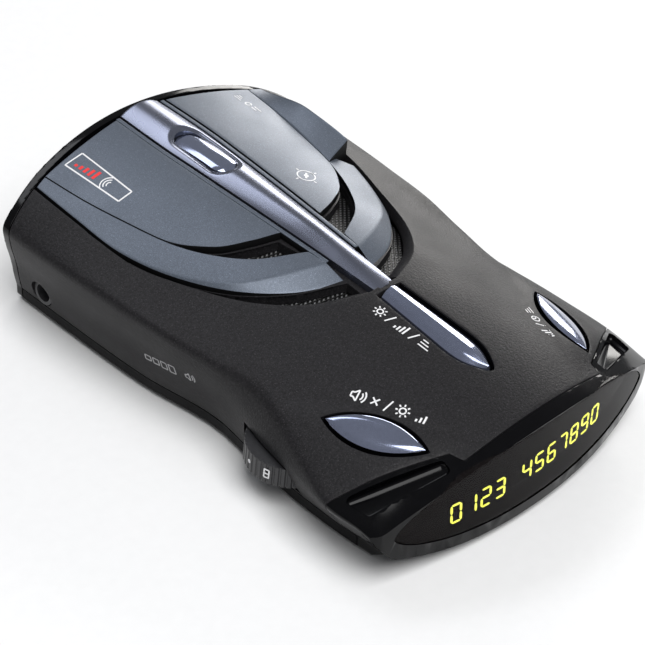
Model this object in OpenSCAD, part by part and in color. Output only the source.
// Dash or windshield radar detector: clamshell case, metal-look wings and spine on the lid,
// glossy display bezel, sprung buttons, thumbwheel, bracket latch and the works inside.
// Frame: +X to the driver's right, -Y towards the driver (display end), +Y towards the road,
// +Z up. The origin is the middle of the footprint, on the surface that the base rests on.

/* [Case] */
// Overall length, display face to road face at the middle
body_l = 108; // [107.5:0.1:108.5]
// How far the display face curves back at the corners
front_bulge = 4.3; // [3.8:0.1:4.6]
// Wall thickness of the lid and the base
wall = 1.8; // [1.6:0.1:1.9]
// Height of the parting line between lid and base
parting_z = 3.5; // [3.2:0.1:3.7]
// Half the visible joint between neighbouring parts
seam = 0.12; // [0.08:0.01:0.15]

/* [Roof] */
// Height of the roof's centre line at mid length
roof_z = 26.2; // [25.8:0.1:26.4]
// Rise of the roof towards the road, per mm
roof_rise = 0.075; // [0.070:0.001:0.078]
// Crown of the spine above its own edges
spine_crown = 1.5; // [1.2:0.1:1.6]
// Thickness of the wing plates
wing_t = 1.4; // [1.2:0.1:1.5]

/* [Controls] */
// Travel of the two side buttons and the select button
button_travel = 0.5; // [0.3:0.1:0.6]
// Travel of the bracket release button and its latch
release_travel = 1.4; // [1.0:0.1:1.5]
// Gap between a button and its surround
button_gap = 0.9; // [0.6:0.1:1.0]
// Radius of the volume thumbwheel
wheel_r = 8; // [7.6:0.1:8.2]
// Ridges on the rim of the thumbwheel
wheel_ridges = 44; // [30:2:60]

/* [Works] */
// Thickness of the circuit boards
board_t = 1.2; // [1.0:0.1:1.6]
// Radius of the power socket's bore
socket_r = 1.8; // [1.75:0.01:1.85]
// Outside radius of the speaker frame
speaker_r = 14.5; // [13:0.5:15]

/* [Hidden] */

eps = 0.01;
front_y = -body_l / 2;
rear_y = body_l / 2;
rear_curve = 0.0052;
lens_t = 1.7;
step_y = 4;
stations = [for (y = [-58:step_y:58]) y];

// Stations along the case, [y, value]: half width at the crease, half width of the belly,
// half width of the base, curvature of the roof, and how far the crease leaves that curve
crease_at = [[-60, 36], [-46, 36.4], [-38, 37], [-28, 34.2], [-15.5, 31], [-5, 32.6], [6, 34.6],
    [30, 36.6], [46, 37], [60, 37]];
belly_at = [[-60, 36], [-46, 36.2], [-38, 36.8], [-28, 35.2], [-20, 33.8], [-8, 31], [6, 32.4],
    [30, 34.1], [60, 34.4]];
base_at = [[-60, 29.5], [-46, 31], [-33, 31.7], [-19.5, 31.2], [-4, 29.3], [13.5, 31.6],
    [46, 32.4], [60, 32.4]];
curve_at = [[-60, 0.0078], [-30, 0.0078], [-10, 0.0083], [5, 0.0085], [25, 0.0068],
    [48, 0.0053], [60, 0.005]];
shelf_at = [[-60, 0], [-25, 0], [-15, 0.5], [-5, 1.5], [6, 2.6], [18, 1.4], [30, 0], [47, -1.7],
    [60, -1.7]];

// Plan curves of the right wing, from the road end forward, as [x, y]
leaf_edge = [[25.3, 48.6], [24.3, 39], [22.8, 30], [20.4, 20.5], [16.4, 13], [10.5, 9.2],
    [5.7, 7.4]];
cup_edge = [[25.9, 48.4], [24.9, 39], [23.3, 30], [20.9, 19.5], [17.4, 11.6], [12.4, 5.1],
    [4.6, 0.4]];
band_edge = [[28.3, 47.7], [28.3, 37], [27.9, 25], [25, 14], [19.4, 3], [12.3, -4.3],
    [3.6, -8.4]];
rim_edge = [[28.9, 50.4], [28.9, 37], [28.3, 22], [25, 11], [19.6, -1.5], [12.5, -9.8],
    [3.6, -13.9]];
// Half width of the spine along the case, and of the select button's surround
spine_at = [[-15, 2.3], [-14, 2.4], [8, 3.6], [18, 4.1], [29, 4.6], [39, 4.95], [52, 4.8],
    [60, 4.6]];
select_at = [[-40.4, 0.1], [-40, 0.7], [-39, 1.5], [-36, 3.1], [-33, 3.7], [-28, 3.6], [-20, 3.3],
    [-13, 3]];

// Almond buttons: the two tips of the right one
almond_rear = [27.7, -27.8];
almond_front = [21.1, -44.5];
almond_w = 5.6;
// Seam between the lid and the bezel, right half
ear_out = [37.4, -38.1];
ear_in = [18.6, -47.6];
ear_step = [17.8, -50.2];
seam_y = -50.9;

// Window outline in the front view
window_end = 32.6;
window_top = 20.3;
window_low = 3.7;
window_tip_z = 9.8;

// Works, in order from the base up
board_z = 3.4;
board_top = board_z + board_t;
wheel_x = -28.2;
wheel_y = -21.2;
wheel_z0 = 5.4;
wheel_z1 = 9.5;
pot_r = 1.5;
run = 0.05;
speaker_y = -4;
socket_y = 40;
socket_z = 6.6;
screws = [[27.2, 29], [-27.2, 29], [14.5, -31], [-14.5, -31]];
board_posts = [for (y = [-38, -14, 14, 36], x = [-20, 20]) [x, y]];
plunger_r = 1.2;
plunger_top = board_top + 4.8;
release_y = 33;
latch_y = 25.5;
release_bar_z = 24.1;
release_top_in = 26.2;
guide_z = 18.6;
guide_w = 13.6;
guide_h = 3.8;
horn_mouth_y = 48.6;
laser_r = 4.6;
laser_x = 24.8;
laser_y = 41.5;
laser_z = 10.6;
display_y = -48.9;
display_z = 5.2;
socket_len = 10;
mode_at = (almond_front + almond_rear) / 2;
select_mid = [0, -27];

case_dark = "#26282b";
case_black = "#131416";
gloss_black = "#0b0c0e";
wing_blue = "#6d7885";
spine_silver = "#b4bccb";
button_blue = "#4b5568";
board_green = "#1f5a38";
metal = "#a9acae";

function lerp(a, b, t) = a + (b - a) * t;
function clamp(t) = min(max(t, 0), 1);
function ease(t) = let (u = clamp(t)) u * u * (3 - 2 * u);

// A smooth curve through a table of [y, value] rows
function row(tab, y, i = 0) = i >= len(tab) - 2 || y < tab[i + 1][0] ? i : row(tab, y, i + 1);
function grade(tab, i) =
    let (a = max(i - 1, 0), b = min(i + 1, len(tab) - 1))
    (tab[b][1] - tab[a][1]) / (tab[b][0] - tab[a][0]);
function along(tab, y) =
    let (i = row(tab, y), h = tab[i + 1][0] - tab[i][0], t = (y - tab[i][0]) / h,
        p = tab[i][1], q = tab[i + 1][1], m = grade(tab, i) * h, n = grade(tab, i + 1) * h)
    p + t * (m + t * (3 * (q - p) - 2 * m - n + t * (2 * (p - q) + m + n)));

// A smooth curve through plan points, at u from 0 to 1
function spline(pts, u) =
    let (n = len(pts) - 1, s = min(clamp(u) * n, n - eps), i = floor(s), t = s - i,
        a = pts[max(i - 1, 0)], b = pts[i], c = pts[i + 1], d = pts[min(i + 2, n)])
    0.5 * (2 * b + t * (c - a) + t * t * (2 * a - 5 * b + 4 * c - d)
        + t * t * t * (3 * b - a - 3 * c + d));
function edge(pts, n = 28) = [for (i = [0:n]) spline(pts, i / n)];

// The roof: a dome that flattens or falls into the crease along each side
function spine_z(y) = roof_z + roof_rise * y - 0.0005 * y * y;
function roof(x, y) =
    let (t = abs(x) / along(crease_at, y), u = clamp((t - 0.7) / 0.3))
    spine_z(y) - along(curve_at, y) * x * x + along(shelf_at, y) * u * u;
function face_y(x) = front_y + front_bulge * pow(x / 33, 2);
function back_y(x) = rear_y - rear_curve * x * x;

// Right half of a cross-section, from the top centre to the bottom centre, shrunk by w
function half_section(y, w) =
    let (xc = along(crease_at, y), xb = along(belly_at, y), xf = along(base_at, y),
        zc = roof(xc, y), zb = min(10.5, zc - 1.2))
    concat(
        [for (i = [0:13]) let (x = xc * i / 13) [x * (xc - w) / xc, y, roof(x, y) - w]],
        [[lerp(xc, xb, 0.5) + 0.3 - w, y, lerp(zc, zb, 0.5)], [xb - w, y, zb],
         [lerp(xb, xf, 0.55) + 0.2 - w, y, lerp(zb, parting_z, 0.6)],
         [xf + 0.2 - w, y, parting_z], [xf - w, y, max(1.2, w + 0.3)],
         [xf - 1.4 - w, y, max(0, w)], [0, y, max(0, w)]]);
function mirrored(half) = concat(half, [for (i = [len(half) - 2:-1:1])
    [-half[i][0], half[i][1], half[i][2]]]);

// A closed solid through rings of equally many points
module loft(rings) {
    n = len(rings[0]);
    m = len(rings);
    polyhedron(
        points = [for (r = rings) each r],
        faces = concat(
            [[for (j = [0:n - 1]) j]],
            [[for (j = [n - 1:-1:0]) (m - 1) * n + j]],
            [for (i = [0:m - 2], j = [0:n - 1])
                let (a = i * n + j, b = i * n + (j + 1) % n) each [[b, a, a + n], [b, a + n, b + n]]]),
        convexity = 10);
}

// A plate that follows the roof between two plan edges; its faces lie at lift and lift - t,
// and its top climbs by rise towards the second edge
module roof_plate(from, to, lift, t, across = 6, rise = 0) {
    n = len(from) - 1;
    order = from[0][1] > from[n][1] ? [n:-1:0] : [0:n];
    loft([for (i = order) concat(
        [for (k = [0:across]) let (p = lerp(from[i], to[i], k / across))
            [p[0], p[1], roof(p[0], p[1]) + lift + rise * k / across]],
        [for (k = [across:-1:0]) let (p = lerp(from[i], to[i], k / across))
            [p[0], p[1], roof(p[0], p[1]) + lift - t]])]);
}

module both_sides() {
    children();
    mirror([1, 0, 0]) children();
}

// The outline seen from above, with rounded corners
module plan(inset = 0) {
    sides = [for (y = [-46:4:44]) [max(along(crease_at, y), along(belly_at, y)) + 0.6, y]];
    half = concat([for (x = [0:4:36]) [x, face_y(x)]], sides, [for (x = [36:-4:0]) [x, back_y(x)]]);
    offset(r = 4 - inset, $fn = 24) offset(delta = -4)
        polygon(concat(half, [for (i = [len(half) - 1:-1:0]) [-half[i][0], half[i][1]]]));
}

// The whole case as one solid, shrunk by w
module envelope(w = 0, ends = 0) {
    intersection() {
        loft([for (y = stations) mirrored(half_section(y, w))]);
        translate([0, 0, -1]) linear_extrude(40) plan(ends);
    }
}

// Everything in front of the lid's seam, in plan; grow moves the seam forward
module bezel_plan(grow = 0) {
    arc = [for (x = [0:3:15]) [x, seam_y + 0.7 * pow(x / 18, 2)]];
    half = concat(arc, [ear_step, ear_in, ear_out, [45, ear_out[1]], [45, -60]]);
    translate([0, -grow]) polygon(concat(half, [for (i = [len(half) - 1:-1:0])
        [-half[i][0], half[i][1]]]));
}

// Everything behind the rear lens's seam, in plan
module rear_plan(grow = 0) {
    half = [for (x = [0:4:40]) [x, back_y(x) - lens_t + grow]];
    polygon(concat([for (i = [len(half) - 1:-1:0]) [-half[i][0], half[i][1]]], half,
        [[40, 70], [-40, 70]]));
}

module wing_plan(edge_points, inner = 0) {
    pts = edge(edge_points);
    polygon(concat([[inner, 60], [pts[0][0], 60]], pts, [[inner, pts[28][1]]]));
}

// The two crescent openings of the right wing: inside the band, and outside it
module cup_plan() {
    opening([for (i = [14:28]) spline(leaf_edge, i / 28)],
        [for (i = [14:28]) spline(cup_edge, i / 28)]);
}
module scoop_plan() {
    opening([for (i = [9:28]) spline(band_edge, i / 28)],
        [for (i = [9:28]) spline(rim_edge, i / 28)]);
}
// The space between two plan edges, less a ledge along each
module opening(a, b, ledge = 0.14) {
    n = len(a) - 1;
    polygon(concat([for (i = [0:n]) lerp(a[i], b[i], ledge)],
        [for (i = [n:-1:0]) lerp(a[i], b[i], 1 - ledge)]));
}

module almond_plan(grow = 0) {
    d = almond_front - almond_rear;
    len_half = norm(d) / 2 + grow;
    w_half = almond_w / 2 + grow;
    r = (len_half * len_half + w_half * w_half) / (2 * w_half);
    translate((almond_front + almond_rear) / 2) rotate(atan2(d[1], d[0])) intersection() {
        translate([0, r - w_half]) circle(r, $fn = 120);
        translate([0, w_half - r]) circle(r, $fn = 120);
    }
}

module select_plan(shrink = 0) {
    ys = [for (r = select_at) r[0]];
    offset(delta = -shrink)
        polygon(concat([for (i = [len(ys) - 1:-1:0]) [-along(select_at, ys[i]), ys[i]]],
            [for (y = ys) [along(select_at, y), y]]));
}

module window_plan(grow = 0) {
    n = 20;
    up = window_top - window_tip_z + grow;
    down = window_tip_z - window_low + grow;
    turn = [for (i = [-n:n]) 90 * i / n];
    polygon(concat(
        [for (a = turn) [(window_end + grow) * sin(a),
            window_tip_z + up * pow(1 - pow(abs(sin(a)), 2.2), 0.65)]],
        [for (a = [for (i = [n - 1:-1:1 - n]) 90 * i / n]) [(window_end + grow) * sin(a),
            window_tip_z - down * pow(1 - pow(abs(sin(a)), 2.6), 0.6)]]));
}

// What is cut away under the display end: nothing at the seam, most at the front corners
function chin_seam(x) = abs(x) < ear_in[0] ? seam_y
    : min(ear_out[1], lerp(ear_in[1], ear_out[1], (abs(x) - ear_in[0]) / (ear_out[0] - ear_in[0])));
function chin_z(x, y) = let (s = chin_seam(x))
    (1.3 + 4.2 * pow(abs(x) / 33, 3)) * ease((s - y) / (s - face_y(x)));
module chin() {
    loft([for (y = [-58:2:-36]) concat([for (x = [-40:4:40]) [x, y, chin_z(x, y) - 0.02]],
        [for (x = [40:-4:-40]) [x, y, -6]])]);
}

// A layer of the display face, from a to b behind the surface
module face_layer(a, b) {
    linear_extrude(30) polygon(concat([for (x = [-36:3:36]) [x, face_y(x) + a]],
        [for (x = [36:-3:-36]) [x, face_y(x) + b]]));
}

module boss(p, r, z0, z1, to) {
    hull() {
        translate([p[0], p[1], z0]) cylinder(h = z1 - z0, r = r, $fn = 32);
        translate([p[0] + to, p[1], z0]) cylinder(h = z1 - z0, r = 0.8, $fn = 16);
    }
}

module wheel_slot() {
    translate([wheel_x, wheel_y, board_top - 0.15]) cylinder(h = wheel_z1 - board_top + 0.65,
        r = wheel_r + 0.7, $fn = 64);
}

module top_shell() {
    color(case_dark) difference() {
        union() {
            difference() {
                envelope();
                intersection() {
                    envelope(wall, wall);
                    translate([-50, -60, -eps]) cube([100, 120, 40]);
                }
            }
            // Screw posts, each with a rib
            for (p = screws) intersection() {
                union() {
                    translate([p[0], p[1], 2]) cylinder(h = 8, r = 2.7, $fn = 32);
                    boss(p, 2.7, 6.4, 30, sign(p[0]) * 4);
                }
                envelope(wall - 0.2, 0.5);
            }
            // Floor under the wings
            both_sides() intersection() {
                translate([0, 0, 10]) linear_extrude(30) offset(delta = 0.8) wing_plan(rim_edge);
                roof_plate([for (y = [-22:4:54]) [0, y]], [for (y = [-22:4:54]) [31, y]], -1.4, 2);
            }
            // Frames around the side buttons and the select button
            for (s = [0, 1]) mirror([s, 0, 0]) intersection() {
                hull() {
                    for (p = [almond_rear, almond_front]) translate([p[0], p[1], 15.9])
                        cylinder(h = 10, r = 2.6, $fn = 24);
                    translate([(almond_rear[0] + almond_front[0]) / 2,
                        (almond_rear[1] + almond_front[1]) / 2, 15.9])
                        cylinder(h = 10, r = almond_w / 2 + 2, $fn = 32);
                }
                envelope(wall / 2, 1);
            }
            intersection() {
                hull() for (y = [-37.5, -16]) translate([0, y, 19]) cylinder(h = 8, r = 5, $fn = 32);
                envelope(wall / 2, 1);
            }
        }
        // The base's half, the bezel and the rear lens
        translate([-50, -60, -1]) cube([100, 120, parting_z + seam + 1]);
        translate([0, 0, -1]) linear_extrude(40) bezel_plan(-seam);
        translate([0, 0, -1]) linear_extrude(40) rear_plan(-seam);
        // Pocket for the wings and the spine, and the crescent openings under them
        both_sides() {
            intersection() {
                translate([0, 0, 10]) linear_extrude(30) wing_plan(rim_edge);
                roof_plate([for (y = stations) [0, y]], [for (y = stations) [30, y]], 6, 7.6);
            }
            translate([0, 0, 15]) linear_extrude(20) cup_plan();
            translate([0, 0, 15]) linear_extrude(20) scoop_plan();
            translate([0, 0, 10]) linear_extrude(20) almond_plan(button_gap);
        }
        translate([0, 0, 15]) linear_extrude(20) select_plan();
        // Room under the spine for the release button, its latch and the bracket's tongue
        hull() for (y = [24, 60]) translate([0, y, 17]) cylinder(h = 16, r = 8.6, $fn = 32);
        wheel_slot();
        for (p = screws) translate([p[0], p[1], 0]) cylinder(h = 14, r = 1.1, $fn = 24);
        translate([-40, socket_y, socket_z]) rotate([0, 90, 0]) cylinder(h = 14, r = 2.7, $fn = 40);
        translate([-31.9, socket_y - 4.4, 3]) cube([12, 8.8, 6.6]);
        // Heat slots under the wing leaves
        for (x = [-22, -18, 18, 22]) hull() for (y = [34, 42])
            translate([x, y, 15]) cylinder(h = 15, r = 0.7, $fn = 16);
    }
}

module bottom_shell() {
    color(case_black) difference() {
        union() {
            difference() {
                envelope();
                envelope(wall, wall);
            }
            for (p = screws) intersection() {
                boss(p, 2.9, 1, 6, sign(p[0]) * 4);
                envelope(0.5, 0.5);
            }
            for (p = board_posts) boss(p, 1.8, 1, board_z, sign(p[0]) * 2);
        }
        translate([-50, -60, parting_z - seam]) cube([100, 120, 40]);
        translate([0, 0, -1]) linear_extrude(40) bezel_plan(-seam);
        translate([0, 0, -1]) linear_extrude(40) rear_plan(-seam);
        for (p = screws) {
            translate([p[0], p[1], -1]) cylinder(h = 8, r = 1.4, $fn = 24);
            translate([p[0], p[1], -1]) cylinder(h = 2.3, r = 2.6, $fn = 32);
        }
        translate([0, 6, -1]) linear_extrude(1.3) square([34, 20], center = true);
    }
}

module rear_lens() {
    color(gloss_black) difference() {
        intersection() {
            envelope();
            translate([0, 0, -1]) linear_extrude(40) rear_plan(seam);
        }
        translate([-guide_w / 2 + 0.8, 40, guide_z + 0.8]) cube([guide_w - 1.6, 20, guide_h - 1.6]);
    }
}

module front_bezel() {
    color(gloss_black) difference() {
        intersection() {
            envelope();
            translate([0, 0, -1]) linear_extrude(40) bezel_plan(seam);
        }
        chin();
        difference() {
            intersection() {
                envelope(2.2, 2.4);
                translate([0, 0, 1]) linear_extrude(40) bezel_plan(-6);
            }
            translate([0, 0, 2]) chin();
        }
        // Hollow behind the window, and the window's seat
        intersection() {
            rotate([90, 0, 0]) translate([0, 0, 40]) linear_extrude(20) window_plan(-1.4);
            face_layer(-2, 30);
        }
        intersection() {
            rotate([90, 0, 0]) translate([0, 0, 40]) linear_extrude(20) window_plan(0.1);
            face_layer(-2, 1.6);
        }
        // Scooped ears at the outer top corners
        for (s = [0, 1]) mirror([s, 0, 0]) hull() {
            for (p = [[21, -48], [34.4, -41.2], [33.8, -44.6], [21.2, -49]])
                translate([p[0], p[1], roof(p[0], p[1]) - 0.2]) sphere(0.9, $fn = 16);
            for (p = [[24, -48.4], [33, -43]])
                translate([p[0], p[1], roof(p[0], p[1]) + 4]) sphere(0.9, $fn = 16);
        }
        for (x = [-24, -16, -8, 8, 16, 24]) hull() for (dx = [-2, 2])
            translate([x + dx, -44, 0.4]) rotate([90, 0, 0]) cylinder(h = 4, r = 0.4, $fn = 16);
    }
}

module display_window() {
    color("#16100f") intersection() {
        rotate([90, 0, 0]) translate([0, 0, 40]) linear_extrude(20) window_plan(-0.05);
        face_layer(0.15, 1.5);
    }
}

module wing_band(with_panel) {
    n = 28;
    first = with_panel ? 0 : 12;
    inner = [for (i = [first:n]) spline(cup_edge, i / n)];
    outer = [for (i = [first:n]) spline(band_edge, i / n)];
    rail_y = [51.8, each [50:-2:-8]];
    color(wing_blue) union() {
        roof_plate(inner, outer, 0, wing_t);
        roof_plate([for (y = rail_y) [along(spine_at, y) + 0.3, y]],
            [for (y = rail_y) [along(spine_at, y) + 1.2, y]], 0, wing_t, 1);
    }
}
module wing_band_right() { wing_band(false); }
module wing_band_left() { mirror([1, 0, 0]) wing_band(true); }
module wing_panel_right() {
    color(wing_blue) roof_plate([for (i = [0:11]) spline(cup_edge, i / 28)],
        [for (i = [0:11]) spline(band_edge, i / 28)], 0.2, wing_t + 0.2, rise = 2.6);
}

module wing_leaf_right() {
    n = 28;
    outer = [for (i = [0:n]) let (p = spline(leaf_edge, i / n)) [p[0] - 0.15, p[1]]];
    // The inner edge runs on to the road end, where the case is longest
    inner = [for (i = [0:n]) let (y = outer[i][1] + 3.1 * pow(1 - i / n, 3) - 0.2)
        [along(spine_at, y) + 1.45, y]];
    color(wing_blue) roof_plate(inner, outer, 0.3, wing_t + 0.3);
}
module wing_leaf_left() { mirror([1, 0, 0]) wing_leaf_right(); }

module grille_right() {
    n = 28;
    a = [for (i = [12:n]) let (p = spline(leaf_edge, i / n)) [max(p[0] - 1.5, 5.4), p[1] + 0.8]];
    b = [for (i = [12:n]) let (p = spline(rim_edge, i / n)) [p[0] - 0.3, p[1] + 0.4]];
    color(case_black) roof_plate(a, b, -3.55, 0.5);
}
module grille_left() { mirror([1, 0, 0]) grille_right(); }

// Centre spine: a crowned bar with a window for the release button
module centre_spine() {
    ys = [for (y = [-14.4, each [-12:3:51], 52]) y];
    color(spine_silver) difference() {
        loft([for (y = ys) let (w = along(spine_at, y), z = spine_z(y) - 0.2)
            concat([for (k = [-6:6]) let (x = w * k / 6)
                [x, y, z + spine_crown * (1 - pow(k / 6, 2)) * ease((y + 22) / 30)]],
                [[w, y, z - 1.3], [-w, y, z - 1.3]])]);
        translate([0, 0, 15]) linear_extrude(20) release_plan(0.25);
    }
}

module release_plan(grow = 0) {
    hull() for (y = [-4.6, 4.6]) translate([0, release_y + y]) circle(2.6 + grow, $fn = 40);
}

module release_button() {
    color(button_blue) difference() {
        release_body();
        // Seat of the spring
        translate([0, release_y, release_bar_z - 1])
            cylinder(h = release_top_in - release_bar_z + 1, r = 2.3, $fn = 48);
    }
}
module release_body() {
    union() {
        intersection() {
            translate([0, 0, release_bar_z + 0.9]) linear_extrude(20) release_plan();
            translate([0, release_y, spine_z(release_y) + 0.9 - 60]) rotate([0, 90, 0])
                cylinder(h = 20, r = 60, center = true, $fn = 360);
        }
        // Flange under the spine, and the crossbar that bears on the latch
        translate([-2.9, latch_y + 1.6, release_bar_z]) cube([5.8, 14.4, 1.2]);
        translate([-8.3, latch_y - 2, release_bar_z]) cube([16.6, 4, 1.1]);
    }
}

module almond_button() {
    union() {
        intersection() {
            translate([0, 0, 10]) linear_extrude(20) almond_plan();
            loft([for (y = [-50:4:-22]) [for (x = [10:4:38]) [x, y, roof(x, y) + 0.5],
                each [for (x = [38:-4:10]) [x, y, roof(x, y) - 1.6]]]]);
        }
        // Stem down to the switch
        translate([mode_at[0], mode_at[1], plunger_top])
            cylinder(h = 7.6, r = 1.9, $fn = 32);
    }
}
module mode_button() { color(button_blue) almond_button(); }
module mute_button() { color(button_blue) mirror([1, 0, 0]) almond_button(); }

module select_button() {
    ys = [-39, -38.4, -37, -35, -33, -28, -22, -15.6];
    color(button_blue) union() {
        loft([for (y = ys) let (w = max(along(select_at, y) - button_gap, 0.12), z = spine_z(y) - 0.4)
            [[-w, y, z], [-w * 0.55, y, z + 0.75], [0, y, z + 1.2], [w * 0.55, y, z + 0.75],
                [w, y, z], [w, y, z - 1.6], [-w, y, z - 1.6]]]);
        translate([0, select_mid[1], plunger_top]) cylinder(h = 13, r = 1.6, $fn = 32);
    }
}

// Tactile switch: a square body with a round well, in which its plunger runs
module switch_body(p) {
    translate([p[0], p[1], board_top]) difference() {
        translate([-3, -3, 0]) cube([6, 6, 3.4]);
        translate([0, 0, 1]) cylinder(h = 4, r = plunger_r + run, $fn = 48);
    }
}
module plunger(p) {
    color(case_black) translate([p[0], p[1], board_top + 1.1 + button_travel])
        cylinder(h = plunger_top - board_top - 1.1 - button_travel, r = plunger_r, $fn = 48);
}
module button_switches() {
    color("#3a3c40") {
        switch_body(mode_at);
        switch_body([-mode_at[0], mode_at[1]]);
        switch_body(select_mid);
    }
}
module mode_plunger() { plunger(mode_at); }
module mute_plunger() { plunger([-mode_at[0], mode_at[1]]); }
module select_plunger() { plunger(select_mid); }

// Latch: legs round the bracket guide, and a tooth that comes up through its floor
module mount_latch() {
    half = guide_w / 2 + 0.3;
    bar_z = guide_z - 2.4;
    color(metal) translate([0, latch_y, 0]) union() {
        for (s = [-1, 1]) translate([s * (half + 0.6) - 0.6, -2, bar_z])
            cube([1.2, 4, release_bar_z - bar_z]);
        translate([-half - 1.2, -2, bar_z]) cube([2 * half + 2.4, 4, 0.9]);
        translate([-2.4, -1.6, bar_z]) cube([4.8, 3.2, guide_z + 0.6 + release_travel - bar_z]);
    }
}

module bracket_guide() {
    inner_w = guide_w - 1.6;
    color(case_black) difference() {
        translate([-guide_w / 2, latch_y - 5, guide_z])
            cube([guide_w, 51.9 - latch_y + 5, guide_h]);
        translate([-inner_w / 2, latch_y - 3.5, guide_z + 0.8]) cube([inner_w, 40, guide_h - 1.6]);
        translate([-2.8, latch_y - 2, guide_z - 1]) cube([5.6, 4, 3]);
    }
}

// Coil spring between the guide's top and the release button
module latch_spring() {
    turns = 4;
    per_turn = 14;
    r = 1.9;
    wire = 0.22;
    z0 = guide_z + guide_h + wire;
    rise = release_top_in - z0 - wire;
    color(metal) loft([for (i = [0:turns * per_turn])
        let (a = 360 * i / per_turn, z = z0 + rise * i / (turns * per_turn))
        [for (k = [0:5]) let (b = -60 * k, q = r + wire * cos(b))
            [q * cos(a), release_y + q * sin(a), z + wire * sin(b)]]]);
}

module volume_wheel() {
    color(case_black) difference() {
        translate([wheel_x, wheel_y, wheel_z0]) linear_extrude(wheel_z1 - wheel_z0) difference() {
            circle(wheel_r, $fn = 120);
            for (a = [0:360 / wheel_ridges:359]) rotate(a) translate([wheel_r + 0.08, 0])
                circle(0.28, $fn = 16);
        }
        translate([wheel_x, wheel_y, wheel_z0 - 1]) cylinder(h = 3.6, r = wheel_r - 1.6, $fn = 96);
        translate([wheel_x, wheel_y, wheel_z0 - 1]) cylinder(h = 8, r = pot_r, $fn = 48);
    }
}
module pot_shaft() {
    color(metal) translate([wheel_x, wheel_y, board_top + 0.8])
        cylinder(h = wheel_z1 - board_top - 0.8, r = pot_r, $fn = 48);
}
module pot_body() {
    color("#5b6068") translate([wheel_x, wheel_y, board_top]) difference() {
        cylinder(h = 2.9, r = wheel_r - 3.2, $fn = 48);
        translate([0, 0, 0.6]) cylinder(h = 4, r = pot_r + run, $fn = 48);
    }
}

module display_module() {
    color("#1c1f22") translate([0, 0, display_z]) difference() {
        translate([-22, display_y, 0]) cube([44, 2.8, 9.4]);
        translate([-20, display_y - 1, 1.2]) cube([40, 1.4, 7]);
    }
}
module display_board() {
    color(board_green) translate([0, display_y + 2.8 + board_t, 0]) rotate([90, 0, 0])
        linear_extrude(board_t) polygon([[-25, display_z - 0.4], [25, display_z - 0.4], [25, 12.6],
            [19, 15.6], [-19, 15.6], [-25, 12.6]]);
}
// Flat cable from the display board down to the main board
module display_flex() {
    r = 2;
    t = 0.3;
    y0 = display_y + 2.8 + board_t;
    arc = [for (a = [180:15:270]) [cos(a), sin(a)]];
    color("#c08a3a") rotate([90, 0, 90]) translate([0, 0, -6]) linear_extrude(12) polygon(concat(
        [[y0, board_top + 5]], [for (p = arc) [y0 + r + t + (r + t) * p[0], board_top + r + t + (r + t) * p[1]]],
        [[y0 + 8, board_top], [y0 + 8, board_top + t]],
        [for (i = [len(arc) - 1:-1:0]) [y0 + r + t + r * arc[i][0], board_top + r + t + r * arc[i][1]]],
        [[y0 + t, board_top + 5]]));
}

module main_board() {
    color(board_green) difference() {
        translate([-27, -40.5, board_z]) cube([54, 86, board_t]);
        for (p = screws) translate([p[0], p[1], board_z - 1]) cylinder(h = 4, r = 3.2, $fn = 48);
    }
}
module rf_shield() {
    color(metal) translate([12.5, 4, board_top]) difference() {
        cube([13.5, 15, 4.6]);
        for (x = [2.6:2.8:11.4], y = [3, 6, 9, 12]) translate([x, y, 4])
            cylinder(h = 2, r = 0.6, $fn = 12);
    }
}

// Horn antenna: a rectangular horn that opens to the road, on a waveguide block
module horn_antenna() {
    color(metal) difference() {
        union() {
            hull() {
                translate([-18, horn_mouth_y - 0.5, board_top]) cube([36, 0.5, 12.8]);
                translate([-7, 20, board_top]) cube([14, 0.5, 7.4]);
            }
            translate([-9, 12.5, board_top]) cube([18, 8, 7.4]);
        }
        hull() {
            translate([-16.8, horn_mouth_y, board_top + 1.2]) cube([33.6, 0.5, 10.4]);
            translate([-5.6, 20, board_top + 1.4]) cube([11.2, 0.5, 4.6]);
        }
        translate([-5.6, 15, board_top + 1.4]) cube([11.2, 6, 4.6]);
    }
}

// Laser eye: a condenser lens in front of a sensor in its holder
module laser_lens() {
    ball = 9;
    color("#3c4a5c") translate([laser_x, laser_y, laser_z]) rotate([-90, 0, 0]) union() {
        cylinder(h = 1.6, r = laser_r, $fn = 48);
        translate([0, 0, 1.6]) intersection() {
            translate([0, 0, 1.2 - ball]) sphere(ball, $fn = 48);
            cylinder(h = 4, r = laser_r, $fn = 48);
        }
    }
}
module laser_sensor() {
    color(case_black) difference() {
        translate([laser_x - 4.9, laser_y - 9, board_top]) cube([9.8, 9, 2 * (laser_z - board_top)]);
        translate([laser_x, laser_y - 7.5, laser_z]) rotate([-90, 0, 0])
            cylinder(h = 9, r = laser_r - 0.6, $fn = 48);
    }
}

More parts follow.
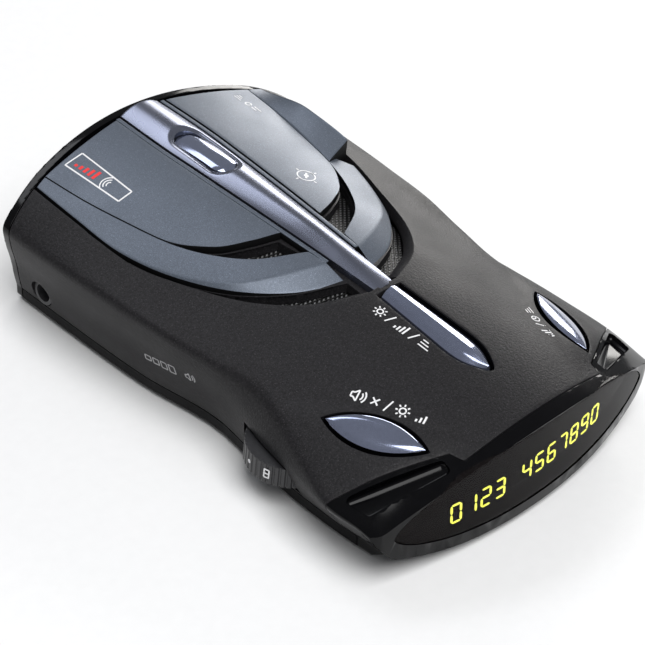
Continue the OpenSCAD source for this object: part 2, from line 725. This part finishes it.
module speaker_magnet() {
    color(metal) translate([0, speaker_y, board_top]) cylinder(h = 4, r = speaker_r - 5.5, $fn = 64);
}
module speaker_frame() {
    color("#3a3c40") translate([0, speaker_y, board_top + 4]) rotate_extrude($fn = 72)
        polygon([[0, 0], [speaker_r - 4.5, 0], [speaker_r - 1.2, 3.6], [speaker_r, 3.6],
            [speaker_r, 5.4], [speaker_r - 1, 5.4], [speaker_r - 1, 4.6], [speaker_r - 1.8, 4.6],
            [speaker_r - 5, 1], [0, 1]]);
}
module speaker_cone() {
    color("#55585c") translate([0, speaker_y, board_top + 4]) rotate_extrude($fn = 72)
        polygon([[0, 2.3], [3.4, 1.9], [speaker_r - 3.4, 4.2], [speaker_r - 2.4, 4.8],
            [speaker_r - 1.4, 5.0], [speaker_r - 1.4, 5.3], [speaker_r - 2.6, 5.3],
            [speaker_r - 3.9, 4.6], [3.4, 2.4], [0, 3.2]]);
}

module power_socket() {
    color(case_black) difference() {
        union() {
            translate([-31.6, socket_y - 4, board_top]) cube([10.6, 8, 4.6]);
            translate([-33, socket_y, socket_z]) rotate([0, 90, 0]) cylinder(h = 3, r = 2.5, $fn = 64);
        }
        translate([-34, socket_y, socket_z]) rotate([0, 90, 0])
            cylinder(h = 1 + socket_len, r = socket_r, $fn = 64);
    }
}

module case_screws() {
    color(metal) for (p = screws) translate([p[0], p[1], 0.25]) difference() {
        union() {
            cylinder(h = 1, r = 2.3, $fn = 32);
            cylinder(h = 11.5, r = 1.05, $fn = 24);
        }
        for (a = [0, 90]) rotate(a) translate([-1.3, -0.25, -1]) cube([2.6, 0.5, 1.5]);
    }
}
module rating_label() {
    color("#c9cbcd") translate([-16.8, -3.8, 0.05]) cube([33.6, 19.6, 0.2]);
}

top_shell();
bottom_shell();
rear_lens();
front_bezel();
display_window();
wing_band_left();
wing_band_right();
wing_panel_right();
wing_leaf_left();
wing_leaf_right();
centre_spine();
grille_left();
grille_right();
select_button();
mute_button();
mode_button();
release_button();
select_plunger();
mute_plunger();
mode_plunger();
button_switches();
mount_latch();
latch_spring();
bracket_guide();
volume_wheel();
pot_shaft();
pot_body();
display_module();
display_board();
display_flex();
main_board();
rf_shield();
horn_antenna();
laser_lens();
laser_sensor();
speaker_frame();
speaker_magnet();
speaker_cone();
power_socket();
case_screws();
rating_label();
